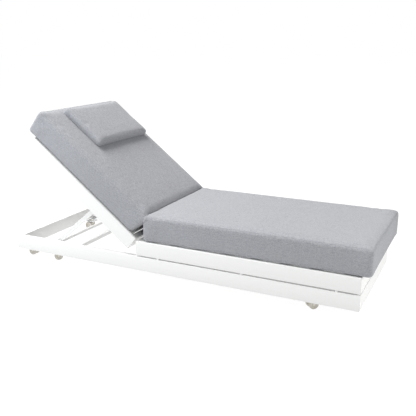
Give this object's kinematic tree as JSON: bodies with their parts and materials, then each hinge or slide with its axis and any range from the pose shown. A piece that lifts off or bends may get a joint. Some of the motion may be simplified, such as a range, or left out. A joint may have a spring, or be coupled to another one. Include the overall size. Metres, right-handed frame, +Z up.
{
  "type": "reclining sun lounger",
  "caption": "Low white aluminium sun lounger on castors, with a hinged back held by a swinging stay, thick seat and back cushions and a headrest pillow.",
  "frame": {"origin": "on the floor under the middle of the bounding box of the whole lounger at rest", "axes": "+X along the length towards the foot end, +Y across the width towards the far long side, +Z up"},
  "size_m": [2.038, 0.74, 0.8777],
  "materials": {
    "white_paint": "satin powder coat",
    "steel": "satin",
    "cushion_fabric": "melange woven outdoor fabric",
    "headrest_fabric": "melange woven outdoor fabric",
    "ivory_plastic": "moulded matte",
    "wheel_plastic": "moulded matte",
    "bumper_rubber": "matte"
  },
  "bodies": {
    "base": {"base_side_rail_near": "white_paint", "base_side_rail_far": "white_paint", "base_head_rail": "white_paint", "base_foot_rail": "white_paint", "base_cross_bar_head": "white_paint", "base_cross_bar_middle": "white_paint", "spacer_near_1": "white_paint", "spacer_near_2": "white_paint", "spacer_near_3": "white_paint", "spacer_far_1": "white_paint", "spacer_far_2": "white_paint", "spacer_far_3": "white_paint", "stay_rack_near": "steel", "stay_rack_far": "steel", "castor_bracket_near_1": "steel", "castor_bracket_near_2": "steel", "castor_bracket_near_3": "steel", "castor_bracket_far_1": "steel", "castor_bracket_far_2": "steel", "castor_bracket_far_3": "steel", "seat_side_rail_near": "white_paint", "seat_side_rail_far": "white_paint", "seat_hinge_rail": "white_paint", "seat_foot_rail": "white_paint", "seat_slat_rack": "white_paint", "hinge_seat_leaf_near": "steel", "hinge_seat_leaf_far": "steel", "hinge_pin_near": "steel", "hinge_pin_far": "steel"},
    "back_frame": {"back_side_rail_near": "white_paint", "back_side_rail_far": "white_paint", "back_top_rail": "white_paint", "back_hinge_rail": "white_paint", "back_slat_rack": "white_paint", "back_bumper_near": "bumper_rubber", "back_bumper_far": "bumper_rubber", "hinge_back_leaf_near": "steel", "hinge_back_leaf_far": "steel", "stay_pivot_bolt_near": "steel", "stay_pivot_bolt_far": "steel"},
    "stay": {"stay_leg_near": "white_paint", "stay_leg_far": "white_paint", "stay_foot_bar": "white_paint"},
    "seat_pad": {"seat_cushion": "cushion_fabric"},
    "back_pad": {"back_cushion": "cushion_fabric", "headrest_pillow": "headrest_fabric"},
    "castor_swivel_near_1": {"castor_fork_near_1": "ivory_plastic"},
    "castor_roll_near_1": {"castor_wheel_near_1": "wheel_plastic"},
    "castor_swivel_near_2": {"castor_fork_near_2": "ivory_plastic"},
    "castor_roll_near_2": {"castor_wheel_near_2": "wheel_plastic"},
    "castor_swivel_near_3": {"castor_fork_near_3": "ivory_plastic"},
    "castor_roll_near_3": {"castor_wheel_near_3": "wheel_plastic"},
    "castor_swivel_far_1": {"castor_fork_far_1": "ivory_plastic"},
    "castor_roll_far_1": {"castor_wheel_far_1": "wheel_plastic"},
    "castor_swivel_far_2": {"castor_fork_far_2": "ivory_plastic"},
    "castor_roll_far_2": {"castor_wheel_far_2": "wheel_plastic"},
    "castor_swivel_far_3": {"castor_fork_far_3": "ivory_plastic"},
    "castor_roll_far_3": {"castor_wheel_far_3": "wheel_plastic"}
  },
  "joints": [
    {"name": "back_tilt", "type": "hinge", "parent": "base", "child": "back_frame", "pos_m": [-0.185, 0, 0.2223], "axis": [0, 1, 0], "range_deg": [-37.5, 17.5]},
    {"name": "stay_swing", "type": "hinge", "parent": "back_frame", "child": "stay", "pos_m": [-0.45296, 0, 0.37082], "axis": [0, -1, 0], "range_deg": [-70.2, 32.8]},
    {"name": "seat_pad_shift", "type": "slide", "parent": "base", "child": "seat_pad", "axis": [1, 0, 0], "range_m": [-0.0277, 0.013]},
    {"name": "back_pad_shift", "type": "slide", "parent": "back_frame", "child": "back_pad", "axis": [-0.7934, 0, 0.6088], "range_m": [-0.0362, 0.017]},
    {"name": "swivel_near_1", "type": "hinge", "parent": "base", "child": "castor_swivel_near_1", "pos_m": [-0.944, -0.289, 0.053], "axis": [0, 0, 1], "continuous": true},
    {"name": "roll_near_1", "type": "hinge", "parent": "castor_swivel_near_1", "child": "castor_roll_near_1", "pos_m": [-0.96, -0.289, 0.025], "axis": [0, 1, 0], "continuous": true},
    {"name": "swivel_near_2", "type": "hinge", "parent": "base", "child": "castor_swivel_near_2", "pos_m": [-0.761, -0.289, 0.053], "axis": [0, 0, 1], "continuous": true},
    {"name": "roll_near_2", "type": "hinge", "parent": "castor_swivel_near_2", "child": "castor_roll_near_2", "pos_m": [-0.77361, -0.29885, 0.025], "axis": [-0.6157, 0.788, 0], "continuous": true},
    {"name": "swivel_near_3", "type": "hinge", "parent": "base", "child": "castor_swivel_near_3", "pos_m": [0.757, -0.289, 0.053], "axis": [0, 0, 1], "continuous": true},
    {"name": "roll_near_3", "type": "hinge", "parent": "castor_swivel_near_3", "child": "castor_roll_near_3", "pos_m": [0.74549, -0.30012, 0.025], "axis": [-0.6947, 0.7193, 0], "continuous": true},
    {"name": "swivel_far_1", "type": "hinge", "parent": "base", "child": "castor_swivel_far_1", "pos_m": [-0.944, 0.289, 0.053], "axis": [0, 0, 1], "continuous": true},
    {"name": "roll_far_1", "type": "hinge", "parent": "castor_swivel_far_1", "child": "castor_roll_far_1", "pos_m": [-0.96, 0.289, 0.025], "axis": [0, 1, 0], "continuous": true},
    {"name": "swivel_far_2", "type": "hinge", "parent": "base", "child": "castor_swivel_far_2", "pos_m": [-0.761, 0.289, 0.053], "axis": [0, 0, 1], "continuous": true},
    {"name": "roll_far_2", "type": "hinge", "parent": "castor_swivel_far_2", "child": "castor_roll_far_2", "pos_m": [-0.77361, 0.29885, 0.025], "axis": [0.6157, 0.788, 0], "continuous": true},
    {"name": "swivel_far_3", "type": "hinge", "parent": "base", "child": "castor_swivel_far_3", "pos_m": [0.757, 0.289, 0.053], "axis": [0, 0, 1], "continuous": true},
    {"name": "roll_far_3", "type": "hinge", "parent": "castor_swivel_far_3", "child": "castor_roll_far_3", "pos_m": [0.74549, 0.30012, 0.025], "axis": [0.6947, 0.7193, 0], "continuous": true}
  ],
  "couplings": [
    {"joint": "stay_swing", "follows": "back_tilt", "ratio": 1.867},
    {"joint": "seat_pad_shift", "follows": "back_tilt", "m_per_rad": 0.042},
    {"joint": "back_pad_shift", "follows": "back_tilt", "m_per_rad": 0.055}
  ]
}
